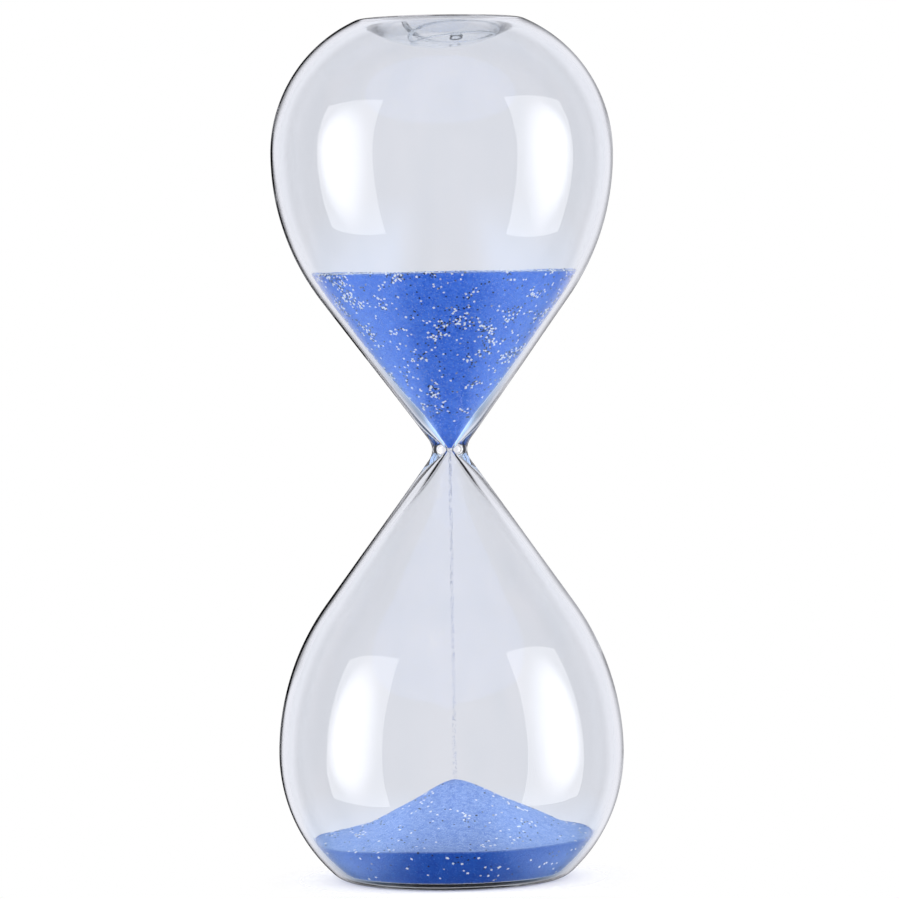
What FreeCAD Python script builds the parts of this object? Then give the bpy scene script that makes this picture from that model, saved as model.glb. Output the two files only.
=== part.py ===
import FreeCAD, Part
import math
import os

# Sand timer of blown glass: two bulbs welded at a metering neck, with the sand partly run out.
# +Z is up. The origin is the middle of the ring that the lower bulb stands on.
# "Rise" below is a distance from the throat towards either end, along the axis.
# Sizes are in millimetres and degrees.

# Outside of the glass. The bulbs are shaped by hand, so they differ a little.
height = 200.0             # from the ring at one end to the ring at the other
upper_diameter = 79.5      # at the widest section
upper_widest_from_end = 31.2
upper_ring_radius = 18.0   # middle line of the ring that the glass stands on when turned over
upper_edge_radius = 3.2    # rounding from the bulb's side into that ring
lower_diameter = 80.2
lower_widest_from_end = 29.4
lower_ring_radius = 23.0
lower_edge_radius = 6.8
ring_flat = 0.8            # width of each ring's flat
dish_depth = 3.4           # how far each end is pushed in
waist_diameter = 8.2       # outside of the neck at the throat
waist_hollow_radius = 4.2  # hollow curve of the neck, seen from the side
cone_reach = 13.8          # how far outside a bulb its straight cone would pass at the widest section

# Glass
wall = 1.5                 # wall of the bulbs
dish_thickness = 3.2       # glass in the middle of each dish
weld_rise = 15.0           # from the throat to the welds between neck and bulbs
throat_radius = 0.6        # metering hole
throat_half_length = 0.3   # half the length of the metering hole
channel_rise = 4.0         # end of the narrow channel on each side of the hole
channel_radius = 2.4       # bore at the end of that channel

# Seal of the filling hole, in the upper end
seal_offset = 3.2          # from the bulb's axis to the middle of the seal
seal_to_ring = 4.8         # from the seal's edge to the ring
seal_bead_radius = 0.45    # fused bead just inside the seal's edge
seal_bead_inset = 0.6      # from the seal's edge to the middle of the bead
seal_tip_radius = 1.3      # pulled-off tip in the middle of the seal
seal_tip_height = 1.1

# Sand
sand_clearance = 0.3       # from the sand to the glass
upper_level = 41.5         # rise of the sand's surface in the upper bulb
crater_radius = 14.0       # hollow in that surface, over the throat
repose_angle = 28.0        # slope of poured sand
heap_point = 24.0          # height where the heap's slopes would meet
heap_tip_radius = 6.0      # rounding of the heap's top
heap_shoulder = 22.0       # radius where the slope eases
apron_angle = 12.0         # slope outside the shoulder
stream_radius = 0.3
stream_start = 0.5         # rise of the stream's upper end, in the throat

throat_z = height / 2


# The half section: points and edges in the plane y = 0, with the throat at the origin

def point(r, rise):
    """A point r from the axis and rise above the throat."""
    return FreeCAD.Vector(r, 0, rise)


def on_arc(centre_r, centre_rise, radius, angle):
    """A point of an arc: angle 0 is straight out from the axis, and 90 is towards the end."""
    turn = math.radians(angle)
    return point(centre_r + radius * math.cos(turn), centre_rise + radius * math.sin(turn))


def arc(centre_r, centre_rise, radius, start, end):
    """An arc's edge from one angle to another."""
    ends = [on_arc(centre_r, centre_rise, radius, a) for a in (start, (start + end) / 2, end)]
    return Part.Arc(*ends).toShape()


def line(a, b):
    return Part.LineSegment(a, b).toShape()


def chain(points):
    """Straight edges from each point to the next."""
    return [line(a, b) for a, b in zip(points, points[1:])]


def turned(edges):
    """The solid of revolution of a half section whose edges start and end on the axis."""
    on_axis = [v.Point for e in (edges[0], edges[-1]) for v in e.Vertexes if abs(v.Point.x) < 1e-9]
    wire = Part.Wire(edges + [line(on_axis[-1], on_axis[0])])
    shell = Part.Face(wire).revolve(FreeCAD.Vector(), FreeCAD.Vector(0, 0, 1), 360)
    return Part.Solid(shell.Shells[0])


class Side:
    """A straight side of the section, through two points given as radius and rise."""

    def __init__(self, r_a, rise_a, r_b, rise_b):
        self.slope = (r_b - r_a) / (rise_b - rise_a)
        self.start_r = r_a - self.slope * rise_a

    def r(self, rise):
        return self.start_r + self.slope * rise

    def inset(self, depth):
        """The same side moved square to itself, towards the axis."""
        start_r = self.start_r - depth * math.hypot(1, self.slope)
        return Side(start_r, 0, start_r + self.slope, 1)

    def meet(self, other):
        """The point where two sides cross."""
        rise = (other.start_r - self.start_r) / (self.slope - other.slope)
        return point(self.r(rise), rise)


class Bulb:
    """One bulb with its half of the neck, the throat at the origin and the end upwards."""

    def __init__(self, diameter, widest_from_end, ring_radius, edge_radius):
        radius = diameter / 2
        self.end_rise = height / 2
        self.widest_rise = self.end_rise - widest_from_end
        self.ring_inner = ring_radius - ring_flat / 2
        self.ring_outer = ring_radius + ring_flat / 2
        self.edge_radius = edge_radius
        self.edge_rise = self.end_rise - edge_radius

        # The cone's side touches the waist's hollow and aims at a point outside the bulb
        self.hollow_r = waist_diameter / 2 + waist_hollow_radius
        aim = radius + cone_reach - self.hollow_r
        turn = math.atan2(aim, self.widest_rise) + math.asin(
            waist_hollow_radius / math.hypot(aim, self.widest_rise))
        self.cone_angle = math.degrees(turn)

        # Arc from the cone to the widest section
        self.shoulder = cone_reach * math.cos(turn) / (1 - math.cos(turn))
        self.shoulder_r = radius - self.shoulder

        # Arc from the widest section to the ring's rounded edge, touching both
        gap = radius - self.ring_outer
        drop = widest_from_end - edge_radius
        self.belly = (drop ** 2 + gap ** 2 - edge_radius ** 2) / (2 * (gap - edge_radius))
        self.belly_r = radius - self.belly
        self.belly_angle = math.degrees(
            math.atan2(self.edge_rise - self.widest_rise, self.ring_outer - self.belly_r))

        # Radius of the dish's outer surface, a piece of a sphere
        self.dish_sphere = (self.ring_inner ** 2 + dish_depth ** 2) / (2 * dish_depth)

    def cone_end(self, depth):
        return on_arc(self.shoulder_r, self.widest_rise, self.shoulder - depth, -self.cone_angle)

    def edges(self, depth, dish_rise):
        """From the cone to the middle of the dish, depth inside the glass's outer surface."""
        end_rise = self.end_rise - depth
        sink = end_rise - dish_rise
        sphere = (self.ring_inner ** 2 + sink ** 2) / (2 * sink)
        half_dish = math.degrees(math.asin(self.ring_inner / sphere))
        return [
            arc(self.shoulder_r, self.widest_rise, self.shoulder - depth, -self.cone_angle, 0),
            arc(self.belly_r, self.widest_rise, self.belly - depth, 0, self.belly_angle),
            arc(self.ring_outer, self.edge_rise, self.edge_radius - depth, self.belly_angle, 90),
            line(point(self.ring_outer, end_rise), point(self.ring_inner, end_rise)),
            arc(0, dish_rise + sphere, sphere, half_dish - 90, -90),
        ]

    def outside(self):
        """The glass as if it were solid through."""
        hollow_end = 180 - self.cone_angle
        hollow = arc(self.hollow_r, 0, waist_hollow_radius, 180, hollow_end)
        throat = line(point(0, 0), point(waist_diameter / 2, 0))
        cone = line(on_arc(self.hollow_r, 0, waist_hollow_radius, hollow_end), self.cone_end(0))
        return turned([throat, hollow, cone] + self.edges(0, self.end_rise - dish_depth))

    def cavity(self, clearance):
        """The inside down to the metering hole, less a clearance all round."""
        a, b = self.cone_end(wall), self.cone_end(wall) - FreeCAD.Vector(
            math.sin(math.radians(self.cone_angle)), 0, math.cos(math.radians(self.cone_angle)))
        cone = Side(a.x, a.z, b.x, b.z)
        funnel = Side(channel_radius, channel_rise, cone.r(weld_rise), weld_rise)
        channel = Side(throat_radius, throat_half_length, channel_radius, channel_rise)
        cone, funnel, channel = [side.inset(clearance) for side in (cone, funnel, channel)]
        start_rise = throat_half_length + clearance
        depth = wall + clearance
        neck = chain([
            point(0, start_rise),
            point(channel.r(start_rise), start_rise),
            channel.meet(funnel),
            funnel.meet(cone),
            self.cone_end(depth),
        ])
        return turned(neck + self.edges(depth, self.end_rise - dish_depth - dish_thickness - clearance))


upper = Bulb(upper_diameter, upper_widest_from_end, upper_ring_radius, upper_edge_radius)
lower = Bulb(lower_diameter, lower_widest_from_end, lower_ring_radius, lower_edge_radius)


def raised(solid):
    """Puts a solid of the upper bulb in its place."""
    return solid.translated(FreeCAD.Vector(0, 0, throat_z))


def inverted(solid):
    """Puts a solid of the lower bulb in its place, with its end down."""
    return raised(solid.mirror(FreeCAD.Vector(), FreeCAD.Vector(0, 0, 1)))


def drum(radius, low, high):
    """An upright cylinder on the axis, between two heights."""
    return Part.makeCylinder(radius, high - low, FreeCAD.Vector(0, 0, low))


# Glass

def all_glass():
    """The glass before it is divided at the welds and the seal."""
    hole = drum(throat_radius, throat_z - throat_half_length, throat_z + throat_half_length)
    outside = raised(upper.outside()).fuse(inverted(lower.outside()))
    return outside.cut([raised(upper.cavity(0)), inverted(lower.cavity(0)), hole])


seal_radius = upper.ring_inner - seal_offset - seal_to_ring
dish_z = height - dish_depth


def at_seal(solid):
    """Tilts a solid made on the axis to the seal's place, about the middle of the dish's sphere."""
    tilt = math.degrees(math.asin(seal_offset / upper.dish_sphere))
    centre = FreeCAD.Vector(0, 0, dish_z + upper.dish_sphere)
    return solid.rotated(centre, FreeCAD.Vector(0, 1, 0), -tilt)


def seal_core():
    """The column of glass that the seal fills in the dish."""
    reach = 2 * (dish_depth + dish_thickness)
    return at_seal(drum(seal_radius, height - reach, height + reach))


def seal_bead():
    """The bead lies on the dish, just inside the seal's edge."""
    radius = seal_radius - seal_bead_inset
    sphere = upper.dish_sphere
    bead_z = dish_z + sphere - math.sqrt(sphere ** 2 - radius ** 2)
    return at_seal(Part.makeTorus(radius, seal_bead_radius, FreeCAD.Vector(0, 0, bead_z)))


def seal_tip():
    """The tip is a low dome, left where the filling tube was pulled off in the flame."""
    dome = (seal_tip_radius ** 2 + seal_tip_height ** 2) / (2 * seal_tip_height)
    ball = Part.makeSphere(dome, FreeCAD.Vector(0, 0, dish_z + seal_tip_height - dome))
    stem = drum(seal_tip_radius, dish_z - seal_tip_height, dish_z + seal_tip_height)
    return at_seal(ball.common(stem))


def glass_pieces():
    """The glass divided into the pieces that are welded together."""
    glass = all_glass()
    beyond = upper_diameter + lower_diameter
    low_weld, high_weld = throat_z - weld_rise, throat_z + weld_rise
    top = glass.common(drum(beyond, high_weld, height))
    return {
        "lower_bulb": glass.common(drum(beyond, 0, low_weld)),
        "neck": glass.common(drum(beyond, low_weld, high_weld)),
        "upper_bulb": top.cut(seal_core()),
        "fill_plug": top.common(seal_core()).fuse([seal_bead(), seal_tip()]).removeSplitter(),
    }


# Sand

def upper_sand():
    """The sand still to run: level, with a crater over the throat."""
    level_z = throat_z + upper_level
    crater_depth = crater_radius * math.tan(math.radians(repose_angle))
    crater = Part.makeCone(0, crater_radius, crater_depth, FreeCAD.Vector(0, 0, level_z - crater_depth))
    return raised(upper.cavity(sand_clearance)).common(drum(upper_diameter, throat_z, level_z)).cut(crater)


heap_top = heap_point - heap_tip_radius * (1 / math.cos(math.radians(repose_angle)) - 1)


def lower_sand():
    """The heap as poured: a rounded cone on a flatter apron, resting in the dished end."""
    outer_r = lower_diameter / 2
    shoulder_z = heap_point - heap_shoulder * math.tan(math.radians(repose_angle))
    edge_z = shoulder_z - (outer_r - heap_shoulder) * math.tan(math.radians(apron_angle))
    tip = heap_top - heap_tip_radius
    sides = chain([
        point(0, 0),
        point(outer_r, 0),
        point(outer_r, edge_z),
        point(heap_shoulder, shoulder_z),
        on_arc(0, tip, heap_tip_radius, 90 - repose_angle),
    ])
    cover = turned(sides + [arc(0, tip, heap_tip_radius, 90 - repose_angle, 90)])
    return inverted(lower.cavity(sand_clearance)).common(cover)


def falling_sand():
    """The falling grains, as a thin rod from the throat to just above the heap."""
    return drum(stream_radius, heap_top + sand_clearance, throat_z + stream_start)


nodes = glass_pieces()
nodes["upper_sand"] = upper_sand()
nodes["falling_sand"] = falling_sand()
nodes["lower_sand"] = lower_sand()

os.makedirs("parts", exist_ok=True)
for name, shape in nodes.items():
    shape.exportStep(f"parts/{name}.step")
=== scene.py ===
import math

import bmesh
import bpy
import numpy as np
from mathutils import Matrix, Vector, noise


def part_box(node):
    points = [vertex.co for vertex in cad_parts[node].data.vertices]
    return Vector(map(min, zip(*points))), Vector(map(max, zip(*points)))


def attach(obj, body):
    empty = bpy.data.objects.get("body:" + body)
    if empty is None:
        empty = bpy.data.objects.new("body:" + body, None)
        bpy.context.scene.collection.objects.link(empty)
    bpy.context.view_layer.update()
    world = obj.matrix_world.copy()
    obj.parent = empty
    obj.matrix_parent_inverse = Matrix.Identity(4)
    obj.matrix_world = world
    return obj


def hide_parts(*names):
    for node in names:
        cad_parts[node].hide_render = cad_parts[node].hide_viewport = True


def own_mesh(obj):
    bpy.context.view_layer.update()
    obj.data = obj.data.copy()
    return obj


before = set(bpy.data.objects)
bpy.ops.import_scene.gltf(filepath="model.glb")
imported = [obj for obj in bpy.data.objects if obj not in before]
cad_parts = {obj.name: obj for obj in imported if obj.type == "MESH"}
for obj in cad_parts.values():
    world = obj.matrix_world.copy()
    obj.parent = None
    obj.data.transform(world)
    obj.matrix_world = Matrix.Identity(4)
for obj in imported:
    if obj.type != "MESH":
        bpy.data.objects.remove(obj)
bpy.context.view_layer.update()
MM = 0.001


# ---------------------------------------------------------------- Bulbs and neck
# One skin of borosilicate glass: two bulbs blown by hand and welded to a heavy-walled neck.
# The welds are fused through, so they don't show. Each end is pushed in to a dish, which
# leaves a ring for the timer to stand on. "Rise" is a distance from the throat to either end.

upper_low, upper_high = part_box("upper_bulb")
lower_low, lower_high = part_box("lower_bulb")
height = upper_high.z
throat_z = (upper_low.z + lower_high.z) / 2
end_rise = height / 2
weld_rise = upper_low.z - throat_z

WALL = 1.5 * MM
DISH_DEPTH = 3.4 * MM
DISH_THICKNESS = 3.2 * MM
RING_FLAT = 0.8 * MM
WAIST_RADIUS = 4.1 * MM
WAIST_HOLLOW = 4.2 * MM         # radius of the neck's hollow curve
CONE_REACH = 13.8 * MM          # how far outside a bulb its cone would pass at the widest section
THROAT_RADIUS = 0.6 * MM
THROAT_HALF_LENGTH = 0.3 * MM
CHANNEL_RISE = 4.0 * MM         # end of the narrow channel beside the throat
CHANNEL_RADIUS = 2.4 * MM
GLASS_STEP = 1.0 * MM           # longest facet along the outline
GLASS_TURNS = 168               # facets round the axis
HAND_WAVER = 0.035 * MM         # unevenness of the blown wall
WAVER_LENGTH = 13 * MM
THROAT_ASIDE = 0.75 * MM        # how far the hand-welded neck sits off the line of the bulbs
THROAT_REACH = 30 * MM          # height over which that dies away


def arc_line(centre_r, centre_rise, radius, start, end, step=GLASS_STEP):
    """Points along an arc: angle 0 is straight out from the axis, and 90 is towards the end."""
    turn = np.radians([start, end])
    count = max(5, math.ceil(abs(turn[1] - turn[0]) * radius / step)) + 1
    angles = np.linspace(turn[0], turn[1], count)
    return np.column_stack([centre_r + radius * np.cos(angles), centre_rise + radius * np.sin(angles)])


def straight_line(a, b, step=GLASS_STEP):
    """Points along a straight stretch."""
    count = max(1, math.ceil(math.dist(a, b) / step)) + 1
    return np.linspace(a, b, count)


def joined(*lines):
    """One line from several that follow each other, without the repeated points."""
    points = np.vstack(lines)
    steps = np.hypot(*np.diff(points, axis=0).T)
    return points[np.concatenate([[True], steps > 1e-7])]


def rounded(points, times=3):
    """Cuts the corners off a line again and again, so that its kinks turn into soft bends."""
    points = np.asarray(points, float)
    for _ in range(times):
        a, b = points[:-1], points[1:]
        cuts = np.stack([0.75 * a + 0.25 * b, 0.25 * a + 0.75 * b], axis=1).reshape(-1, 2)
        points = np.vstack([points[:1], cuts, points[-1:]])
    return points


def aside(z):
    """How far the glass stands off the axis at a height."""
    return THROAT_ASIDE * np.exp(-((z - throat_z) / THROAT_REACH) ** 2)


class BulbShape:
    """The outline of one bulb with its half of the neck, as radius and rise."""

    def __init__(self, widest_radius, widest_from_end, ring_radius, edge_radius):
        self.widest_rise = end_rise - widest_from_end
        self.ring_inner = ring_radius - RING_FLAT / 2
        self.ring_outer = ring_radius + RING_FLAT / 2
        self.edge_radius = edge_radius
        self.hollow_r = WAIST_RADIUS + WAIST_HOLLOW
        aim = widest_radius + CONE_REACH - self.hollow_r
        turn = math.atan2(aim, self.widest_rise) + math.asin(
            WAIST_HOLLOW / math.hypot(aim, self.widest_rise))
        self.cone_angle = math.degrees(turn)
        self.shoulder = CONE_REACH * math.cos(turn) / (1 - math.cos(turn))
        self.shoulder_r = widest_radius - self.shoulder
        gap = widest_radius - self.ring_outer
        drop = widest_from_end - edge_radius
        self.belly = (drop ** 2 + gap ** 2 - edge_radius ** 2) / (2 * (gap - edge_radius))
        self.belly_r = widest_radius - self.belly
        self.belly_angle = math.degrees(math.atan2(
            end_rise - edge_radius - self.widest_rise, self.ring_outer - self.belly_r))
        self.dish_sphere = (self.ring_inner ** 2 + DISH_DEPTH ** 2) / (2 * DISH_DEPTH)

    def bulb_line(self, depth, dish_rise):
        """From the cone's end to the middle of the dish, depth inside the outer skin."""
        plane = end_rise - depth
        sink = plane - dish_rise
        sphere = (self.ring_inner ** 2 + sink ** 2) / (2 * sink)
        half_dish = math.degrees(math.asin(self.ring_inner / sphere))
        edge_rise = end_rise - self.edge_radius
        return joined(
            arc_line(self.shoulder_r, self.widest_rise, self.shoulder - depth, -self.cone_angle, 0),
            arc_line(self.belly_r, self.widest_rise, self.belly - depth, 0, self.belly_angle),
            arc_line(self.ring_outer, edge_rise, self.edge_radius - depth, self.belly_angle, 90,
                     step=GLASS_STEP / 2),
            arc_line(0, dish_rise + sphere, sphere, half_dish - 90, -90))

    def outer_line(self):
        """The outer skin, from the waist to the middle of the dish."""
        hollow_end = 180 - self.cone_angle
        hollow = arc_line(self.hollow_r, 0, WAIST_HOLLOW, 180, hollow_end, step=GLASS_STEP / 3)
        bulb = self.bulb_line(0, end_rise - DISH_DEPTH)
        return joined(hollow, straight_line(hollow[-1], bulb[0]), bulb)

    def inner_line(self, gap=0.0):
        """The inner skin, or a line a gap inside it, from beside the throat to the dish."""
        depth = WALL + gap
        bulb = self.bulb_line(depth, end_rise - DISH_DEPTH - DISH_THICKNESS - gap)
        slope = math.tan(math.radians(self.cone_angle))
        weld_r = bulb[0][0] - slope * (bulb[0][1] - weld_rise)
        knee = (CHANNEL_RADIUS - gap, CHANNEL_RISE)
        start = (THROAT_RADIUS, THROAT_HALF_LENGTH)
        if gap:
            start = (start[0] - gap / 2, THROAT_HALF_LENGTH + gap)
        return joined(rounded([start, knee, (weld_r, weld_rise), bulb[0]]), bulb)


upper = BulbShape(
    widest_radius=(upper_high.x - upper_low.x) / 2, widest_from_end=31.2 * MM,
    ring_radius=18.0 * MM, edge_radius=3.2 * MM)
lower = BulbShape(
    widest_radius=(lower_high.x - lower_low.x) / 2, widest_from_end=29.4 * MM,
    ring_radius=23.0 * MM, edge_radius=6.8 * MM)


def from_dish_to_dish(lower_line, upper_line):
    """A closed half section: up the lower bulb, through the neck and up the upper bulb."""
    below = lower_line[::-1] * (1, -1)
    return joined(below, upper_line) + (0, throat_z)


def revolved(bm, line, turns, waver_seed):
    """Adds a skin of revolution, closed on the axis. A line that runs upwards faces outwards."""
    angles = np.linspace(0, math.tau, turns, endpoint=False)
    shift = Vector((0, 0, waver_seed))
    rings = []
    for r, z in line:
        if r < 1e-6:
            rings.append([bm.verts.new((aside(z), 0, z))])
            continue
        ring = []
        for angle in angles:
            spot = Vector((r * math.cos(angle), r * math.sin(angle), z))
            swell = HAND_WAVER * noise.noise(spot / WAVER_LENGTH + shift) * min(1, r / CHANNEL_RADIUS)
            around = spot * Vector((1 + swell / r, 1 + swell / r, 1))
            ring.append(bm.verts.new(around + Vector((aside(z), 0, 0))))
        rings.append(ring)
    for a, b in zip(rings, rings[1:]):
        for i in range(turns):
            j = (i + 1) % turns
            corners = [a[i % len(a)], a[j % len(a)], b[j % len(b)], b[i % len(b)]]
            bm.faces.new(dict.fromkeys(corners))


def new_piece(name, mesh, material, smooth=True):
    """Puts a mesh in the scene as a named piece with its finish."""
    mesh.materials.clear()
    mesh.materials.append(material)
    mesh.polygons.foreach_set("use_smooth", [smooth] * len(mesh.polygons))
    piece = bpy.data.objects.new(name, mesh)
    bpy.context.scene.collection.objects.link(piece)
    return piece


def linear(code, alpha=1.0):
    """The linear colour of an sRGB hex code such as #4c72cf."""
    parts = [int(code[i:i + 2], 16) / 255 for i in (1, 3, 5)]
    return [c / 12.92 if c <= 0.04045 else ((c + 0.055) / 1.055) ** 2.4 for c in parts] + [alpha]


def add_node(tree, kind, inputs=None, **settings):
    """Adds a node with its settings, and gives each input named or numbered a value or a link."""
    made = tree.nodes.new(kind)
    for key, value in settings.items():
        setattr(made, key, value)
    for key, value in (inputs or {}).items():
        if isinstance(value, bpy.types.NodeSocket):
            tree.links.new(value, made.inputs[key])
        else:
            made.inputs[key].default_value = value
    return made


def empty_material(name):
    """A material with no nodes yet."""
    material = bpy.data.materials.new(name)
    material.use_nodes = True
    material.node_tree.nodes.clear()
    return material


def blown_borosilicate(name, clear, streaked):
    """Borosilicate 3.3, flame-polished: colourless, mirror smooth, with the faint cords of drawn tube.
    It gives thin bright and dark rims, clean window reflections and next to no tint."""
    material = empty_material(name)
    tree = material.node_tree
    place = add_node(tree, "ShaderNodeTexCoord").outputs["Object"]
    stretch = add_node(tree, "ShaderNodeMapping", {"Vector": place, "Scale": (1, 1, 0.35)})
    cords = add_node(tree, "ShaderNodeTexNoise", {
        "Vector": stretch.outputs["Vector"], "Scale": 1 / (7 * MM), "Detail": 1.0, "Roughness": 0.4})
    tint = add_node(tree, "ShaderNodeMix", {
        0: cords.outputs[0], 6: linear(clear), 7: linear(streaked)}, data_type="RGBA")
    skin = add_node(tree, "ShaderNodeBump", {
        "Height": cords.outputs[0], "Strength": 0.25, "Distance": 0.02 * MM})
    surface = add_node(tree, "ShaderNodeBsdfPrincipled", {
        "Base Color": tint.outputs[2], "Normal": skin.outputs["Normal"],
        "Roughness": 0.0, "IOR": 1.473, "Transmission Weight": 1.0})
    add_node(tree, "ShaderNodeOutputMaterial", {"Surface": surface.outputs["BSDF"]})
    return material


clear_glass = blown_borosilicate("blown_borosilicate_glass", "#fdfeff", "#f6f9fb")

skins = bmesh.new()
revolved(skins, from_dish_to_dish(lower.outer_line(), upper.outer_line()), GLASS_TURNS, 0)
revolved(skins, from_dish_to_dish(lower.inner_line(), upper.inner_line())[::-1], GLASS_TURNS, 5)
envelope_mesh = bpy.data.meshes.new("glass_envelope")
skins.to_mesh(envelope_mesh)
skins.free()
envelope = new_piece("glass_envelope", envelope_mesh, clear_glass)
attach(envelope, "glass")
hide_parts("upper_bulb", "neck", "lower_bulb")


# ---------------------------------------------------------------- Seal of the filling hole
# The filling hole in the upper dish is closed with a round patch of the same glass.
# Its edge is melted in, which leaves a low bead, and the rod it was carried on leaves a tip.

seal_low, seal_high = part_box("fill_plug")
seal_offset = (seal_low.x + seal_high.x) / 2
seal_radius = (seal_high.x - seal_low.x) / 2
BEAD_INSET = 0.6 * MM
BEAD_RADIUS = 0.45 * MM
BEAD_UNEVEN = 0.22              # share by which the bead swells and shrinks along its length
TIP_RADIUS = 1.3 * MM
TIP_HEIGHT = 1.1 * MM
TIP_SUNK = 0.5 * MM


def bead_points(bm, sphere, turns=96, sides=12):
    """The bead, a ring on the dish about its middle, thicker here and thinner there."""
    radius = seal_radius - BEAD_INSET
    rise = sphere - math.sqrt(sphere ** 2 - radius ** 2)
    rings = []
    for i in range(turns):
        angle = math.tau * i / turns
        swell = noise.noise(Vector((2 * math.cos(angle), 2 * math.sin(angle), 3.1)))
        thick = BEAD_RADIUS * (1 + BEAD_UNEVEN * swell)
        ring = []
        for k in range(sides):
            turn = math.tau * k / sides
            r = radius + thick * math.cos(turn)
            z = rise + 0.6 * thick * math.sin(turn)
            ring.append(bm.verts.new((r * math.cos(angle), r * math.sin(angle), z)))
        rings.append(ring)
    for i, ring in enumerate(rings):
        following = rings[(i + 1) % turns]
        for k in range(sides):
            m = (k + 1) % sides
            bm.faces.new((ring[k], following[k], following[m], ring[m]))


def tip_line():
    """Half section of the tip: a dome with a foot that runs out into the dish."""
    dome = arc_line(0, -TIP_SUNK, TIP_HEIGHT + TIP_SUNK, 90, 0, step=0.15 * MM)
    dome[:, 0] *= TIP_RADIUS / (TIP_HEIGHT + TIP_SUNK)
    return np.vstack([dome, [(0, -TIP_SUNK)]])[::-1]


seal_skins = bmesh.new()
bead_points(seal_skins, upper.dish_sphere)
revolved(seal_skins, tip_line(), 40, 9)
bmesh.ops.recalc_face_normals(seal_skins, faces=seal_skins.faces)
dish_middle = Vector((0, 0, height - DISH_DEPTH))
sphere_middle = dish_middle + Vector((0, 0, upper.dish_sphere))
tilt = Matrix.Rotation(-math.asin(seal_offset / upper.dish_sphere), 4, "Y")
to_seal = Matrix.Translation(sphere_middle) @ tilt @ Matrix.Translation(dish_middle - sphere_middle)
bmesh.ops.transform(seal_skins, matrix=to_seal, verts=seal_skins.verts)
seal_mesh = bpy.data.meshes.new("fill_seal")
seal_skins.to_mesh(seal_mesh)
seal_skins.free()
seal_glass = blown_borosilicate("fused_seal_glass", "#f7fafc", "#eef3f8")
seal = new_piece("fill_seal", seal_mesh, seal_glass)
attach(seal, "glass")
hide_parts("fill_plug")


# ---------------------------------------------------------------- Sand still to run
# Fine quartz sand dyed blue, poured in through the filling hole. It lies against the upper cone,
# level at the wall, and the run through the throat has drawn a shallow crater in its surface.

sand_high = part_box("upper_sand")[1]
GLASS_GAP = 0.2 * MM            # between the sand's skin and the glass; the outer grains fill it
GRAIN = 0.4 * MM                # width of the coarser grains
GRAIN_JITTER = 0.1 * MM         # depth of the pits between grains
CRATER_RADIUS = 14.0 * MM
REPOSE = math.radians(28)
SAND_TURNS = 300
WALL_ROWS = 100
TOP_ROWS = 58
WALL_BEYOND_SAND = 2 * MM       # how far the glass is followed past the sand's edge
pits = np.random.default_rng(11)


def softened(r, corner):
    """A radius whose cone has a rounded point."""
    return np.sqrt(r ** 2 + corner ** 2) - corner


def upper_surface(r, angle):
    """Height of the sand left in the upper bulb."""
    crater_depth = CRATER_RADIUS * math.tan(REPOSE)
    crater = crater_depth - softened(r, 2 * MM) * math.tan(REPOSE)
    lip = 1.2 * MM
    sag = 0.5 * (crater + np.sqrt(crater ** 2 + lip ** 2))
    ripple = 0.12 * MM * np.sin(3 * angle + 0.7) * np.sin(r / (5 * MM))
    return sand_high.z - 0.1 * MM - sag + ripple


def sand_skin(name, wall_line, surface, wall_rows, top_rows):
    """The skin of poured sand: along the glass from the axis to where the surface meets it,
    then over the surface back to the axis. Every point is set in by a random part of a grain."""
    angles = np.linspace(0, math.tau, SAND_TURNS, endpoint=False)
    steps = np.hypot(*np.diff(wall_line, axis=0).T)
    along = np.concatenate([[0], np.cumsum(steps)])
    fine = np.linspace(0, along[-1], 4000)
    fine_r, fine_z = (np.interp(fine, along, wall_line[:, k]) for k in (0, 1))
    rows = np.zeros((wall_rows + top_rows - 1, SAND_TURNS, 3))
    for column, angle in enumerate(angles):
        over = fine_z - surface(fine_r, angle)
        last = np.nonzero(over < 0)[0].max()
        reach = fine[last]
        s = np.linspace(0, reach, wall_rows + 1)[1:]
        r, z = np.interp(s, fine, fine_r), np.interp(s, fine, fine_z)
        r -= GRAIN_JITTER * pits.random(wall_rows) * np.minimum(1, r / (2 * MM))
        top_r = np.linspace(r[-1], 0, top_rows + 1)[1:-1]
        top_z = surface(top_r, angle) - GRAIN_JITTER * pits.random(top_rows - 1)
        r, z = np.concatenate([r, top_r]), np.concatenate([z, top_z])
        rows[:, column] = np.column_stack([r * math.cos(angle) + aside(z), r * math.sin(angle), z])
    bottom, middle_z = wall_line[0][1], float(surface(np.array([0.0]), 0.0)[0])
    first, last = (aside(bottom), 0, bottom), (aside(middle_z), 0, middle_z)
    points = np.vstack([[first], rows.reshape(-1, 3), [last]])
    count, end = len(rows), len(points) - 1
    faces = []
    for j in range(SAND_TURNS):
        k = (j + 1) % SAND_TURNS
        faces.append((0, 1 + k, 1 + j))
        faces.append((end, 1 + (count - 1) * SAND_TURNS + j, 1 + (count - 1) * SAND_TURNS + k))
        for row in range(count - 1):
            a = 1 + row * SAND_TURNS
            b = a + SAND_TURNS
            faces.append((a + j, a + k, b + k, b + j))
    mesh = bpy.data.meshes.new(name)
    mesh.from_pydata(points.tolist(), [], faces)
    # The free surface gets 1 and the side against the glass 0: it marks where the colour is painted paler,
    # as painted top light and sheen.
    share = np.clip((np.arange(count) - wall_rows + 2) / 3, 0, 1)
    loose = mesh.attributes.new("loose", "FLOAT", "POINT")
    loose.data.foreach_set("value", np.concatenate([[0], np.repeat(share, SAND_TURNS), [1]]))
    return mesh


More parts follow.
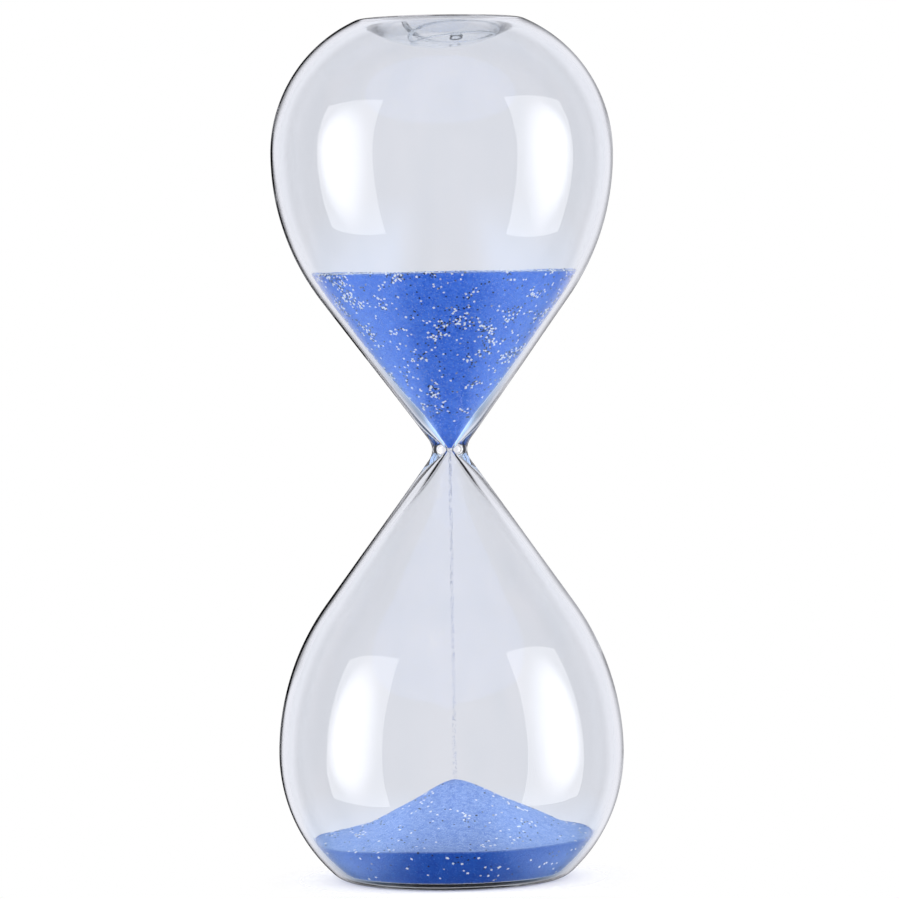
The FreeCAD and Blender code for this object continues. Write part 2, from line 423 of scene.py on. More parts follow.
def dyed_sand(name, packed, packed_light, painted_lit_top_dark, painted_lit_top_pale):
    """Quartz sand dyed blue: dull grains of uneven tone, deep blue where they lie packed against the
    glass. On a free surface the colour is painted paler: painted top light and sheen from above."""
    material = empty_material(name)
    tree = material.node_tree
    place = add_node(tree, "ShaderNodeTexCoord").outputs["Object"]
    grains = add_node(tree, "ShaderNodeTexVoronoi", {"Vector": place, "Scale": 1 / GRAIN})
    tones = add_node(tree, "ShaderNodeSeparateColor", {"Color": grains.outputs["Color"]})
    drift = add_node(tree, "ShaderNodeTexNoise", {
        "Vector": place, "Scale": 1 / (1.6 * MM), "Detail": 3.0})
    shade = add_node(tree, "ShaderNodeMath", {
        0: drift.outputs[0], 1: 1.6, 2: -0.3}, operation="MULTIPLY_ADD")
    tone = add_node(tree, "ShaderNodeMix", {0: 0.5, 2: shade.outputs[0], 3: tones.outputs[0]})
    in_pack = add_node(tree, "ShaderNodeMix", {
        0: tone.outputs[0], 6: linear(packed), 7: linear(packed_light)}, data_type="RGBA")
    in_painted_top_light = add_node(tree, "ShaderNodeMix", {
        0: tone.outputs[0], 6: linear(painted_lit_top_dark), 7: linear(painted_lit_top_pale)}, data_type="RGBA")
    loose = add_node(tree, "ShaderNodeAttribute", attribute_name="loose").outputs["Fac"]
    # Painted top light and sheen: the free surface takes the paler colours.
    colour = add_node(tree, "ShaderNodeMix", {
        0: loose, 6: in_pack.outputs[2], 7: in_painted_top_light.outputs[2]}, data_type="RGBA")
    relief = add_node(tree, "ShaderNodeBump", {
        "Height": grains.outputs["Distance"], "Strength": 0.5, "Distance": 0.1 * MM}, invert=True)
    surface = add_node(tree, "ShaderNodeBsdfPrincipled", {
        "Base Color": colour.outputs[2], "Normal": relief.outputs["Normal"],
        "Roughness": 0.7, "IOR": 1.45})
    add_node(tree, "ShaderNodeOutputMaterial", {"Surface": surface.outputs["BSDF"]})
    return material


sand_finish = dyed_sand("blue_dyed_quartz_sand", "#1c5fe0", "#5a92f8", "#6387d6", "#a9c3f2")


def grain_tree():
    """Strews small faceted grains over a bed, gathered in drifts. Drift share is how much of the bed
    the drifts cover, and between them lie only a few grains."""
    tree = bpy.data.node_groups.new("strewn_grains", "GeometryNodeTree")
    for socket, kind in (("Bed", "Geometry"), ("Density", "Float"), ("Size", "Float"), ("Sunk", "Float"),
                         ("Flat", "Float"), ("Drift size", "Float"), ("Drift share", "Float"),
                         ("Lowest", "Float"), ("Seed", "Int"), ("Finish", "Material")):
        tree.interface.new_socket(socket, in_out="INPUT", socket_type="NodeSocket" + kind)
    tree.interface.new_socket("Grains", in_out="OUTPUT", socket_type="NodeSocketGeometry")
    given = add_node(tree, "NodeGroupInput").outputs
    place = add_node(tree, "GeometryNodeInputPosition").outputs[0]
    patch = add_node(tree, "ShaderNodeVectorMath", {0: place, 3: given["Drift size"]}, operation="SCALE")
    drifts = add_node(tree, "ShaderNodeTexNoise", {"Vector": patch.outputs[0], "Scale": 1.0, "Detail": 2.0})
    low = add_node(tree, "ShaderNodeMath", {0: 0.62, 1: given["Drift share"]}, operation="SUBTRACT")
    high = add_node(tree, "ShaderNodeMath", {0: low.outputs[0], 1: 0.1}, operation="ADD")
    gathered = add_node(tree, "ShaderNodeMapRange", {
        "Value": drifts.outputs[0], "From Min": low.outputs[0], "From Max": high.outputs[0],
        "To Min": 0.07})
    # They thin out towards the lowest point, where the bed tapers.
    level = add_node(tree, "ShaderNodeSeparateXYZ", {0: place}).outputs[2]
    above = add_node(tree, "ShaderNodeMath", {0: level, 1: given["Lowest"]}, operation="SUBTRACT")
    reach = add_node(tree, "ShaderNodeMapRange", {"Value": above.outputs[0], "From Max": 8 * MM})
    share = add_node(tree, "ShaderNodeMath", {
        0: gathered.outputs[0], 1: reach.outputs[0]}, operation="MULTIPLY")
    density = add_node(tree, "ShaderNodeMath", {
        0: share.outputs[0], 1: given["Density"]}, operation="MULTIPLY")
    spots = add_node(tree, "GeometryNodeDistributePointsOnFaces", {
        "Mesh": given["Bed"], "Density": density.outputs[0], "Seed": given["Seed"]})
    inward = add_node(tree, "ShaderNodeVectorMath", {
        0: spots.outputs["Normal"], 3: given["Sunk"]}, operation="SCALE")
    sunk = add_node(tree, "GeometryNodeSetPosition", {
        "Geometry": spots.outputs["Points"], "Offset": inward.outputs[0]})
    grain = add_node(tree, "GeometryNodeMeshUVSphere", {"Segments": 4, "Rings": 2, "Radius": 1.0})
    tumble = add_node(tree, "FunctionNodeRandomValue", {
        1: (0.3, 0.3, math.tau), "Seed": given["Seed"]}, data_type="FLOAT_VECTOR")
    turn = add_node(tree, "FunctionNodeRotateRotation", {
        0: spots.outputs["Rotation"], 1: tumble.outputs[0]}, rotation_space="LOCAL")
    spread = add_node(tree, "FunctionNodeRandomValue", {
        2: 0.75, 3: 1.2, "Seed": given["Seed"]}, data_type="FLOAT")
    across = add_node(tree, "ShaderNodeMath", {
        0: spread.outputs[1], 1: given["Size"]}, operation="MULTIPLY")
    thick = add_node(tree, "ShaderNodeMath", {
        0: across.outputs[0], 1: given["Flat"]}, operation="MULTIPLY")
    size = add_node(tree, "ShaderNodeCombineXYZ", {
        0: across.outputs[0], 1: across.outputs[0], 2: thick.outputs[0]})
    laid = add_node(tree, "GeometryNodeInstanceOnPoints", {
        "Points": sunk.outputs[0], "Instance": grain.outputs["Mesh"],
        "Rotation": turn.outputs[0], "Scale": size.outputs[0]})
    shade = add_node(tree, "FunctionNodeRandomValue", {"Seed": given["Seed"]}, data_type="FLOAT")
    toned = add_node(tree, "GeometryNodeStoreNamedAttribute", {
        "Geometry": laid.outputs[0], "Name": "tone", "Value": shade.outputs[1]},
        data_type="FLOAT", domain="INSTANCE")
    solid = add_node(tree, "GeometryNodeRealizeInstances", {0: toned.outputs[0]})
    finished = add_node(tree, "GeometryNodeSetMaterial", {
        "Geometry": solid.outputs[0], "Material": given["Finish"]})
    add_node(tree, "NodeGroupOutput", {0: finished.outputs[0]})
    return tree


def grown(name, start_mesh, tree, **values):
    """Runs a node tree on a mesh with its named inputs set, and keeps the result as a plain mesh."""
    maker = bpy.data.objects.new(name, start_mesh)
    bpy.context.scene.collection.objects.link(maker)
    modifier = maker.modifiers.new("grow", "NODES")
    modifier.node_group = tree
    for item in tree.interface.items_tree:
        if item.in_out == "INPUT" and item.name.replace(" ", "_").lower() in values:
            modifier[item.identifier] = values[item.name.replace(" ", "_").lower()]
    evaluated = maker.evaluated_get(bpy.context.evaluated_depsgraph_get())
    mesh = bpy.data.meshes.new_from_object(evaluated)
    mesh.name = name
    maker.modifiers.remove(modifier)
    bpy.data.objects.remove(maker)
    return mesh


def dyed_grains(name, packed_dark, packed_light, painted_lit_top_dark, painted_lit_top_pale):
    """Single grains of the same sand, each with one tone of its own. They stand out from the bed as
    fine dark and pale specks; on a free surface their colour is painted paler, as painted top light."""
    material = empty_material(name)
    tree = material.node_tree
    tone = add_node(tree, "ShaderNodeAttribute", attribute_name="tone").outputs["Fac"]
    loose = add_node(tree, "ShaderNodeAttribute", attribute_name="loose").outputs["Fac"]
    place = add_node(tree, "ShaderNodeTexCoord").outputs["Object"]
    mottle = add_node(tree, "ShaderNodeTexNoise", {"Vector": place, "Scale": 1 / (3 * MM), "Detail": 2.0})
    shade = add_node(tree, "ShaderNodeMix", {0: 0.4, 2: tone, 3: mottle.outputs[0]})
    in_pack = add_node(tree, "ShaderNodeMix", {
        0: shade.outputs[0], 6: linear(packed_dark), 7: linear(packed_light)}, data_type="RGBA")
    in_painted_top_light = add_node(tree, "ShaderNodeMix", {
        0: shade.outputs[0], 6: linear(painted_lit_top_dark), 7: linear(painted_lit_top_pale)}, data_type="RGBA")
    # Painted top light and sheen: grains on the free surface take the paler colours.
    colour = add_node(tree, "ShaderNodeMix", {
        0: loose, 6: in_pack.outputs[2], 7: in_painted_top_light.outputs[2]}, data_type="RGBA")
    surface = add_node(tree, "ShaderNodeBsdfPrincipled", {
        "Base Color": colour.outputs[2], "Roughness": 0.5, "IOR": 1.54})
    add_node(tree, "ShaderNodeOutputMaterial", {"Surface": surface.outputs["BSDF"]})
    return material


def glinting_grains(name, near_black, clear):
    """White and near-black grains, painted as sparkle: the white is a painted highlight on top of the
    real gloss of their flat faces, which catch the light one by one, so the sand sparkles white against
    near-black."""
    material = empty_material(name)
    tree = material.node_tree
    tone = add_node(tree, "ShaderNodeAttribute", attribute_name="tone").outputs["Fac"]
    place = add_node(tree, "ShaderNodeTexCoord").outputs["Object"]
    mottle = add_node(tree, "ShaderNodeTexNoise", {"Vector": place, "Scale": 1 / (2 * MM)})
    share = add_node(tree, "ShaderNodeMath", {
        0: mottle.outputs[0], 1: 0.2, 2: tone}, operation="MULTIPLY_ADD")
    kind = add_node(tree, "ShaderNodeMapRange", {
        "Value": share.outputs[0], "From Min": 0.52, "From Max": 0.64})
    # Painted highlight: the white grains' colour stands in for sparkle.
    colour = add_node(tree, "ShaderNodeMix", {
        0: kind.outputs[0], 6: linear(near_black), 7: linear(clear)}, data_type="RGBA")
    surface = add_node(tree, "ShaderNodeBsdfPrincipled", {
        "Base Color": colour.outputs[2], "Roughness": 0.3, "IOR": 1.54})
    add_node(tree, "ShaderNodeOutputMaterial", {"Surface": surface.outputs["BSDF"]})
    return material


strewn = grain_tree()
grain_finish = dyed_grains("blue_quartz_grains", "#1550cc", "#8db4fa", "#5f86d8", "#c4d8fb")
painted_sparkle_finish = glinting_grains("clean_and_coated_grains", "#030a20", "#fcfeff")


def strew(name, bed, body, finish, **values):
    """Adds single grains to a bed of sand as a piece of their own."""
    mesh = grown(name, bed.data, strewn, finish=finish, **values)
    piece = new_piece(name, mesh, finish, smooth=False)
    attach(piece, body)
    return piece


upper_wall = upper.inner_line(GLASS_GAP)
upper_wall = np.vstack([[(0, upper_wall[0][1])], upper_wall[:-1]]) + (0, throat_z)
upper_wall = upper_wall[:np.nonzero(upper_wall[:, 1] > sand_high.z + WALL_BEYOND_SAND)[0][0]]
upper_sand = new_piece(
    "upper_sand_bed", sand_skin("upper_sand_bed", upper_wall, upper_surface, WALL_ROWS, TOP_ROWS),
    sand_finish)
strew("upper_grains", upper_sand, "upper_charge", grain_finish,
      density=2.6e6, size=0.19 * MM, flat=0.7, sunk=-0.04 * MM, lowest=0.1, drift_size=150.0,
      drift_share=0.5, seed=3)
# Painted sparkle: white grains stand in for highlights.
strew("upper_glints", upper_sand, "upper_charge", painted_sparkle_finish,
      density=2.3e6, size=0.34 * MM, flat=0.42, sunk=0.0, lowest=0.106, drift_size=200.0,
      drift_share=0.1, seed=21)


# ---------------------------------------------------------------- Sand that has run through
# The same sand, heaped by its fall: a rounded cone at the angle of repose, standing on a flatter
# apron that has crept out to the glass. It is a little steeper on one side, as real heaps are.

heap_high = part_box("lower_sand")[1]
HEAP_SLOPE = 0.525              # rise over run of the cone
HEAP_LEAN = 0.06                # how much steeper the left side is, and flatter the right
APRON_SLOPE = 0.185
APRON_LEAN = 0.03
APRON_HEIGHT = 10.2 * MM        # where the apron meets the glass
APRON_TILT = 0.6 * MM
APRON_REACH = 33 * MM
APRON_HIGHEST = 16 * MM         # no part of its edge lies higher on the glass


def lower_surface(r, angle):
    """Height of the heap: the higher of cone and apron, with the shoulder rounded."""
    from_peak = np.hypot(r * math.cos(angle) - THROAT_ASIDE, r * math.sin(angle))
    lean = math.cos(angle)
    cone = heap_high.z - softened(from_peak, 2.4 * MM) * (HEAP_SLOPE - HEAP_LEAN * lean)
    apron = APRON_HEIGHT + APRON_TILT * lean + (APRON_REACH - r) * (APRON_SLOPE - APRON_LEAN * lean)
    above = cone - apron
    meld = 0.7 * MM
    slips = 0.18 * MM * np.sin(5 * angle + r / (3 * MM)) * np.clip(r / (12 * MM), 0, 1)
    return apron + 0.5 * (above + np.sqrt(above ** 2 + meld ** 2)) - 0.3 * MM + slips


lower_wall = lower.inner_line(GLASS_GAP)[::-1] * (1, -1) + (0, throat_z)
lower_wall = lower_wall[:np.nonzero(lower_wall[:, 1] > APRON_HIGHEST)[0][0]]
# The lower bed's side against the glass is painted a darker blue than the upper bed's: painted shade.
sand_finish_painted_shade_below = dyed_sand("settled_blue_sand", "#0646b0", "#1c62c8", "#6387d6", "#a9c3f2")
lower_sand = new_piece(
    "lower_sand_bed", sand_skin("lower_sand_bed", lower_wall, lower_surface, 90, 80), sand_finish_painted_shade_below)

# Its grains are painted darker on that side too: painted shade.
grains_painted_shade_below = dyed_grains("settled_quartz_grains", "#0238a0", "#3f80e0", "#5f86d8", "#c4d8fb")
strew("lower_grains", lower_sand, "lower_charge", grains_painted_shade_below,
      density=2.2e6, size=0.19 * MM, flat=0.7, sunk=-0.04 * MM, lowest=-0.01, drift_size=150.0,
      drift_share=0.5, seed=5)
# Painted sparkle: white grains stand in for highlights.
strew("lower_glints", lower_sand, "lower_charge", painted_sparkle_finish,
      density=0.7e6, size=0.35 * MM, flat=0.45, sunk=0.0, lowest=-0.004, drift_size=200.0,
      drift_share=0.05, seed=8)

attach(upper_sand, "upper_charge")
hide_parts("upper_sand")
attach(lower_sand, "lower_charge")
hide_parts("lower_sand")


# ---------------------------------------------------------------- Falling sand
# The thread of grains between the throat and the heap. They speed up as they fall, so the thread
# thins out, and it widens a little towards the heap.

STREAM_TOP = 100.4 * MM
STREAM_GRAINS = 760


def stream_tree():
    """Strings grains along the fall, each set off by chance."""
    tree = bpy.data.node_groups.new("falling_grains", "GeometryNodeTree")
    for socket, kind in (("Start", "Geometry"), ("Count", "Int"), ("Top", "Float"), ("Fall", "Float"),
                         ("Spread", "Float"), ("Size", "Float"), ("Seed", "Int"), ("Finish", "Material")):
        tree.interface.new_socket(socket, in_out="INPUT", socket_type="NodeSocket" + kind)
    tree.interface.new_socket("Grains", in_out="OUTPUT", socket_type="NodeSocketGeometry")
    given = add_node(tree, "NodeGroupInput").outputs
    spots = add_node(tree, "GeometryNodePoints", {"Count": given["Count"]})
    chance = add_node(tree, "FunctionNodeRandomValue", {"Seed": given["Seed"]}, data_type="FLOAT")
    fallen = add_node(tree, "ShaderNodeMath", {0: chance.outputs[1], 1: 1.2}, operation="POWER")
    drop = add_node(tree, "ShaderNodeMath", {0: fallen.outputs[0], 1: given["Fall"]}, operation="MULTIPLY")
    z = add_node(tree, "ShaderNodeMath", {0: given["Top"], 1: drop.outputs[0]}, operation="SUBTRACT")
    away = add_node(tree, "FunctionNodeRandomValue", {
        0: (-1, -1, 0), 1: (1, 1, 0), "Seed": given["Seed"]}, data_type="FLOAT_VECTOR")
    width = add_node(tree, "ShaderNodeMath", {
        0: fallen.outputs[0], 1: 0.3, 2: 0.7}, operation="MULTIPLY_ADD")
    reach = add_node(tree, "ShaderNodeMath", {
        0: width.outputs[0], 1: given["Spread"]}, operation="MULTIPLY")
    astray = add_node(tree, "ShaderNodeVectorMath", {
        0: away.outputs[0], 3: reach.outputs[0]}, operation="SCALE")
    height_at = add_node(tree, "ShaderNodeCombineXYZ", {2: z.outputs[0]})
    position = add_node(tree, "ShaderNodeVectorMath", {0: astray.outputs[0], 1: height_at.outputs[0]})
    placed = add_node(tree, "GeometryNodeSetPosition", {
        "Geometry": spots.outputs[0], "Position": position.outputs[0]})
    grain = add_node(tree, "GeometryNodeMeshUVSphere", {"Segments": 5, "Rings": 3, "Radius": 1.0})
    laid = add_node(tree, "GeometryNodeInstanceOnPoints", {
        "Points": placed.outputs[0], "Instance": grain.outputs["Mesh"], "Scale": given["Size"]})
    shade = add_node(tree, "FunctionNodeRandomValue", {"Seed": given["Seed"]}, data_type="FLOAT")
    toned = add_node(tree, "GeometryNodeStoreNamedAttribute", {
        "Geometry": laid.outputs[0], "Name": "tone", "Value": shade.outputs[1]},
        data_type="FLOAT", domain="INSTANCE")
    solid = add_node(tree, "GeometryNodeRealizeInstances", {0: toned.outputs[0]})
    finished = add_node(tree, "GeometryNodeSetMaterial", {
        "Geometry": solid.outputs[0], "Material": given["Finish"]})
    add_node(tree, "NodeGroupOutput", {0: finished.outputs[0]})
    return tree


falling_finish = dyed_grains("falling_quartz_grains", "#43558c", "#9eaed6", "#43558c", "#9eaed6")
stream_mesh = grown(
    "falling_grains", bpy.data.meshes.new("fall_start"), stream_tree(), count=STREAM_GRAINS,
    top=STREAM_TOP, fall=STREAM_TOP - heap_high.z, spread=0.48 * MM, size=0.075 * MM, seed=4,
    finish=falling_finish)
stream_mesh.transform(Matrix.Translation((THROAT_ASIDE, 0, 0)))
stream = new_piece("falling_grains", stream_mesh, falling_finish)
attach(stream, "glass")
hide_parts("falling_sand")
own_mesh(stream)


# ---------------------------------------------------------------- Table, light and camera
# A white table top that fades into a white room, two tall soft windows in front of the glass
# at either side, and a long lens a little above the throat.

TABLE_RADIUS = 1.6
floor_bm = bmesh.new()
bmesh.ops.create_circle(floor_bm, cap_ends=True, segments=128, radius=TABLE_RADIUS)
floor_mesh = bpy.data.meshes.new("table_top")
floor_bm.to_mesh(floor_mesh)
floor_bm.free()


def white_table(name):
    """Matt white board that fades out to the white room, so that no edge shows."""
    material = empty_material(name)
    tree = material.node_tree
    place = add_node(tree, "ShaderNodeTexCoord").outputs["Object"]
    distance = add_node(tree, "ShaderNodeVectorMath", {0: place}, operation="LENGTH")
    fade = add_node(tree, "ShaderNodeMapRange", {
        "Value": distance.outputs["Value"], "From Min": 0.018, "From Max": 0.045},
        interpolation_type="SMOOTHSTEP")
    board = add_node(tree, "ShaderNodeBsdfDiffuse", {"Color": linear("#f4f4f6")})
    clear = add_node(tree, "ShaderNodeBsdfTransparent")
    both = add_node(tree, "ShaderNodeMixShader", {
        0: fade.outputs[0], 1: board.outputs[0], 2: clear.outputs[0]})
    add_node(tree, "ShaderNodeOutputMaterial", {"Surface": both.outputs[0]})
    return material


floor = new_piece("table_top", floor_mesh, white_table("matt_white_board"))
floor.visible_transmission = False
floor.visible_glossy = False


CARD = linear("#08090c")
RING_ANGLE = math.radians(29)   # from straight on to the middle of the ring of card
RING_HALF_WIDTH = math.radians(3.0)
RING_FADED = math.radians(4.5)


def room_behind(sky, sideways, onward, upward, share, in_wall):
    """What the glass shows through itself: a white room with black cards in it. A ring of card draws
    the rims of the bulbs, a band draws the bends of the solid neck, and one card lies far below."""
    across = add_node(sky, "ShaderNodeMath", {0: sideways}, operation="ABSOLUTE")
    along = add_node(sky, "ShaderNodeMath", {0: onward}, operation="ABSOLUTE")
    nearest = add_node(sky, "ShaderNodeMath", {
        0: across.outputs[0], 1: along.outputs[0]}, operation="MAXIMUM")
    angle = add_node(sky, "ShaderNodeMath", {0: nearest.outputs[0]}, operation="ARCCOSINE")
    off_ring = add_node(sky, "ShaderNodeMath", {0: angle.outputs[0], 1: RING_ANGLE}, operation="SUBTRACT")
    off_ring = add_node(sky, "ShaderNodeMath", {0: off_ring.outputs[0]}, operation="ABSOLUTE")
    ring = add_node(sky, "ShaderNodeMapRange", {
        "Value": off_ring.outputs[0], "From Min": RING_HALF_WIDTH, "From Max": RING_FADED,
        "To Min": 0.6, "To Max": 0.0}, interpolation_type="SMOOTHSTEP")
    ring = add_node(sky, "ShaderNodeMath", {0: ring.outputs[0], 1: share}, operation="MULTIPLY")
    tilt = add_node(sky, "ShaderNodeMath", {0: upward}, operation="ABSOLUTE")
    level = add_node(sky, "ShaderNodeMapRange", {
        "Value": tilt.outputs[0], "From Min": 0.34, "From Max": 0.42, "To Min": 1.0, "To Max": 0.0})
    ring = add_node(sky, "ShaderNodeMath", {0: ring.outputs[0], 1: level.outputs[0]}, operation="MULTIPLY")
    below = add_node(sky, "ShaderNodeMapRange", {
        "Value": upward, "From Min": -0.8, "From Max": -0.68, "To Min": 1.0, "To Max": 0.0})
    off_band = add_node(sky, "ShaderNodeMath", {0: onward, 1: 0.66}, operation="SUBTRACT")
    off_band = add_node(sky, "ShaderNodeMath", {0: off_band.outputs[0]}, operation="ABSOLUTE")
    band = add_node(sky, "ShaderNodeMapRange", {
        "Value": off_band.outputs[0], "From Min": 0.13, "From Max": 0.16, "To Min": 0.95, "To Max": 0.0})
    band = add_node(sky, "ShaderNodeMath", {0: band.outputs[0], 1: in_wall}, operation="MULTIPLY")
    cards = add_node(sky, "ShaderNodeMath", {0: ring.outputs[0], 1: below.outputs[0]}, operation="MAXIMUM")
    cards = add_node(sky, "ShaderNodeMath", {0: cards.outputs[0], 1: band.outputs[0]}, operation="MAXIMUM")
    return add_node(sky, "ShaderNodeMix", {
        0: cards.outputs[0], 6: linear("#f2f1f7"), 7: CARD}, data_type="RGBA").outputs[2]


def table_mirrored(sky, sideways, upward, in_wall):
    """The table as the glass mirrors it: dark under the camera, and bluish at either side, where
    light that has passed the sand falls on it."""
    across = add_node(sky, "ShaderNodeMath", {0: sideways}, operation="ABSOLUTE")
    aside_share = add_node(sky, "ShaderNodeMapRange", {
        "Value": across.outputs[0], "From Min": 0.22, "From Max": 0.5})
    beside = add_node(sky, "ShaderNodeMix", {
        0: in_wall, 6: (0.25, 0.50, 1.0, 1), 7: (0.55, 0.68, 0.88, 1)}, data_type="RGBA")
    near_foot = add_node(sky, "ShaderNodeMix", {
        0: aside_share.outputs[0], 6: linear("#101218"), 7: beside.outputs[2]}, data_type="RGBA")
    far_aside = add_node(sky, "ShaderNodeMapRange", {
        "Value": across.outputs[0], "From Min": 0.4, "From Max": 0.56})
    well_down = add_node(sky, "ShaderNodeMapRange", {
        "Value": upward, "From Min": -0.68, "From Max": -0.5, "To Min": 1.0, "To Max": 0.0})
    lit = add_node(sky, "ShaderNodeMath", {
        0: far_aside.outputs[0], 1: well_down.outputs[0]}, operation="MULTIPLY")
    return add_node(sky, "ShaderNodeMix", {
        0: lit.outputs[0], 6: near_foot.outputs[2], 7: (0.70, 1.03, 1.75, 1)}, data_type="RGBA").outputs[2]


def room_mirrored(sky, sideways, onward, upward, share, in_wall, first_wall):
    """What the glass mirrors: a pale room that is dark straight on, which thins the rims, and dark
    on the camera's side. Light turned back inside a wall finds card beside it too, which draws the
    lines at the throat. The table lies below."""
    grazing = add_node(sky, "ShaderNodeMapRange", {"Value": onward, "From Min": 0.93, "From Max": 0.955})
    dark = add_node(sky, "ShaderNodeMath", {0: grazing.outputs[0], 1: share}, operation="MULTIPLY")
    dark = add_node(sky, "ShaderNodeMath", {0: dark.outputs[0], 1: first_wall}, operation="MULTIPLY")
    unlit = add_node(sky, "ShaderNodeMapRange", {
        "Value": onward, "From Min": 0.3, "From Max": 0.62, "To Min": 0.85, "To Max": 0.0})
    dark = add_node(sky, "ShaderNodeMath", {0: dark.outputs[0], 1: unlit.outputs[0]}, operation="MAXIMUM")
    turned = add_node(sky, "ShaderNodeMapRange", {
        "Value": onward, "From Min": 0.62, "From Max": 0.74, "To Min": 1.0, "To Max": 0.0})
    turned = add_node(sky, "ShaderNodeMath", {0: turned.outputs[0], 1: in_wall}, operation="MULTIPLY")
    dark = add_node(sky, "ShaderNodeMath", {0: dark.outputs[0], 1: turned.outputs[0]}, operation="MAXIMUM")
    around = add_node(sky, "ShaderNodeMix", {
        0: dark.outputs[0], 6: linear("#efeff6"), 7: CARD}, data_type="RGBA")
    low = add_node(sky, "ShaderNodeMapRange", {
        "Value": upward, "From Min": -0.55, "From Max": -0.3, "To Min": 1.0, "To Max": 0.0})
    low = add_node(sky, "ShaderNodeMath", {0: low.outputs[0], 1: first_wall}, operation="MULTIPLY")
    return add_node(sky, "ShaderNodeMix", {
        0: low.outputs[0], 6: around.outputs[2],
        7: table_mirrored(sky, sideways, upward, in_wall)}, data_type="RGBA").outputs[2]


def white_room(name):
    """The room about the table. The backdrop is plain white, matt things get soft light that is
    stronger from overhead, and the glass shows and mirrors the room as above. The cards on the
    right are the fainter ones."""
    room = bpy.data.worlds.new(name)
    room.use_nodes = True
    sky = room.node_tree
    sky.nodes.clear()
    heading = add_node(sky, "ShaderNodeTexCoord").outputs["Generated"]
    sideways, onward, upward = add_node(sky, "ShaderNodeSeparateXYZ", {0: heading}).outputs
    path = add_node(sky, "ShaderNodeLightPath").outputs
    passed = path["Transmission Depth"]
    in_wall = add_node(sky, "ShaderNodeMath", {0: passed, 1: 2.0, 2: 0.5}, operation="COMPARE").outputs[0]
    first_wall = add_node(sky, "ShaderNodeMath", {0: passed, 1: 2.5}, operation="LESS_THAN").outputs[0]
    behind = add_node(sky, "ShaderNodeMapRange", {
        "Value": onward, "From Min": 0.7, "From Max": 0.88, "To Min": 0.3, "To Max": 1.0})
    right = add_node(sky, "ShaderNodeMapRange", {
        "Value": sideways, "From Min": 0.05, "From Max": 0.14, "To Min": 1.0, "To Max": 0.4})
    share = add_node(sky, "ShaderNodeMath", {
        0: behind.outputs[0], 1: right.outputs[0]}, operation="MULTIPLY").outputs[0]
    through = room_behind(sky, sideways, onward, upward, share, in_wall)
    mirrored = room_mirrored(sky, sideways, onward, upward, share, in_wall, first_wall)
    on_gloss = add_node(sky, "ShaderNodeMath", {0: path["Glossy Depth"], 1: 0.5}, operation="GREATER_THAN")
    in_glass = add_node(sky, "ShaderNodeMix", {
        0: on_gloss.outputs[0], 6: through, 7: mirrored}, data_type="RGBA")
    on_matt = add_node(sky, "ShaderNodeMath", {0: path["Diffuse Depth"], 1: 0.5}, operation="GREATER_THAN")
    lit = add_node(sky, "ShaderNodeMix", {
        0: on_matt.outputs[0], 6: in_glass.outputs[2], 7: linear("#f6f8ff")}, data_type="RGBA")
    backdrop = add_node(sky, "ShaderNodeMix", {
        0: path["Is Camera Ray"], 6: lit.outputs[2], 7: (1, 1, 1, 1)}, data_type="RGBA")
    overhead = add_node(sky, "ShaderNodeMapRange", {
        "Value": upward, "From Min": -0.6, "From Max": 0.6, "To Min": 1.12, "To Max": 1.7})
    power = add_node(sky, "ShaderNodeMix", {0: on_matt.outputs[0], 2: 1.0, 3: overhead.outputs[0]})
    glow = add_node(sky, "ShaderNodeBackground", {
        "Color": backdrop.outputs[2], "Strength": power.outputs[0]})
    add_node(sky, "ShaderNodeOutputWorld", {"Surface": glow.outputs[0]})
    return room


bpy.context.scene.world = white_room("white_room")

middle = Vector((0, 0, height / 2))
WINDOW_NEAR = 1.43              # from the glass to a window's edge nearer the camera
WINDOW_FAR = 2.16               # and to its other edge, so that its top looks level in the glass
WINDOW_BOTTOM = -0.81
WINDOW_TOP = 1.27


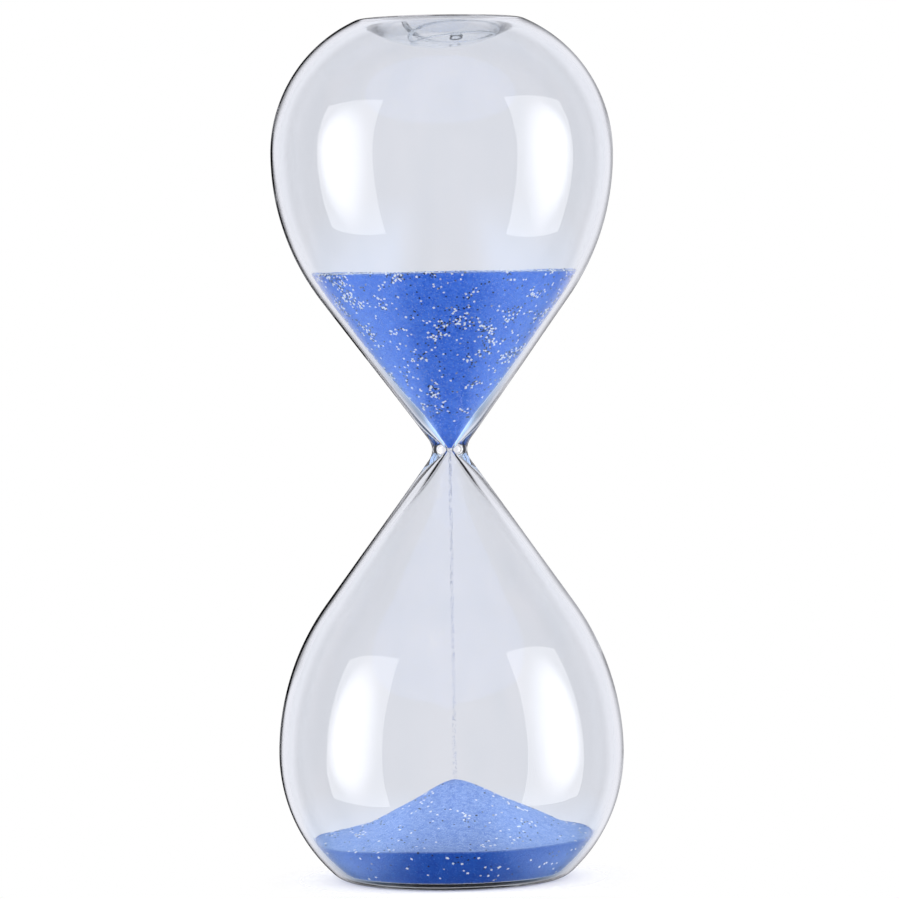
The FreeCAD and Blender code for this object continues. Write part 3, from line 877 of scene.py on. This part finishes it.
def window(name, near_deg, far_deg, edge, core):
    """A tall soft window between two bearings from the camera's side. The lamp behind it makes its
    core brighter than the edge."""
    ends = []
    for bearing, distance in ((near_deg, WINDOW_NEAR), (far_deg, WINDOW_FAR)):
        turn = math.radians(bearing)
        ends.append(distance * Vector((math.sin(turn), -math.cos(turn), 0)))
    across = ends[1] - ends[0]
    facing = across.cross(Vector((0, 0, 1))).normalized()
    centre = (ends[0] + ends[1]) / 2
    if facing.dot(centre) > 0:
        facing = -facing
    data = bpy.data.lights.new(name, "AREA")
    data.shape = "RECTANGLE"
    data.size = across.length
    data.size_y = WINDOW_TOP - WINDOW_BOTTOM
    data.energy = math.pi * data.size * data.size_y
    data.use_nodes = True
    tree = data.node_tree
    tree.nodes.clear()
    spot = add_node(tree, "ShaderNodeNewGeometry").outputs["Parametric"]
    away = add_node(tree, "ShaderNodeVectorMath", {0: spot, 1: (0.5, 0.5, 0.0)}, operation="DISTANCE")
    power = add_node(tree, "ShaderNodeMapRange", {
        "Value": away.outputs["Value"], "From Min": 0.22, "From Max": 0.5, "To Min": core, "To Max": edge},
        interpolation_type="SMOOTHSTEP")
    glare = add_node(tree, "ShaderNodeEmission", {"Strength": power.outputs[0]})
    add_node(tree, "ShaderNodeOutputLight", {0: glare.outputs[0]})
    light = bpy.data.objects.new(name, data)
    bpy.context.scene.collection.objects.link(light)
    light.location = centre + Vector((0, 0, (WINDOW_BOTTOM + WINDOW_TOP) / 2))
    light.rotation_euler = facing.to_track_quat("-Z", "Y").to_euler()
    light.visible_camera = False
    light.visible_transmission = False
    return light


window("left_window", -46, -91, 2.8, 8.0)
window("right_window", 51, 98, 2.8, 8.0)

CAMERA_DISTANCE = 1.1686
CAMERA_HEIGHT = 0.140
CAMERA_ROLL = math.radians(0.95)   # the timer stands a touch askew in the view
CAMERA_LENS = 201.3
CAMERA_SHIFT = 0.00334             # share of the view's width
camera_data = bpy.data.cameras.new("camera")
camera_data.lens = CAMERA_LENS
camera_data.sensor_width = 36.0
camera_data.shift_x = CAMERA_SHIFT
camera = bpy.data.objects.new("camera", camera_data)
bpy.context.scene.collection.objects.link(camera)
camera.location = (0, -CAMERA_DISTANCE, CAMERA_HEIGHT)
aim = (middle - camera.location).to_track_quat("-Z", "Y")
camera.rotation_euler = (aim.to_matrix() @ Matrix.Rotation(-CAMERA_ROLL, 3, "Z")).to_euler()
bpy.context.scene.camera = camera
bpy.context.scene.view_settings.view_transform = "Standard"

# Light goes to and fro many times inside the thick dish and neck before it gets out.
paths = bpy.context.scene.cycles
paths.max_bounces = paths.glossy_bounces = paths.transmission_bounces = 28
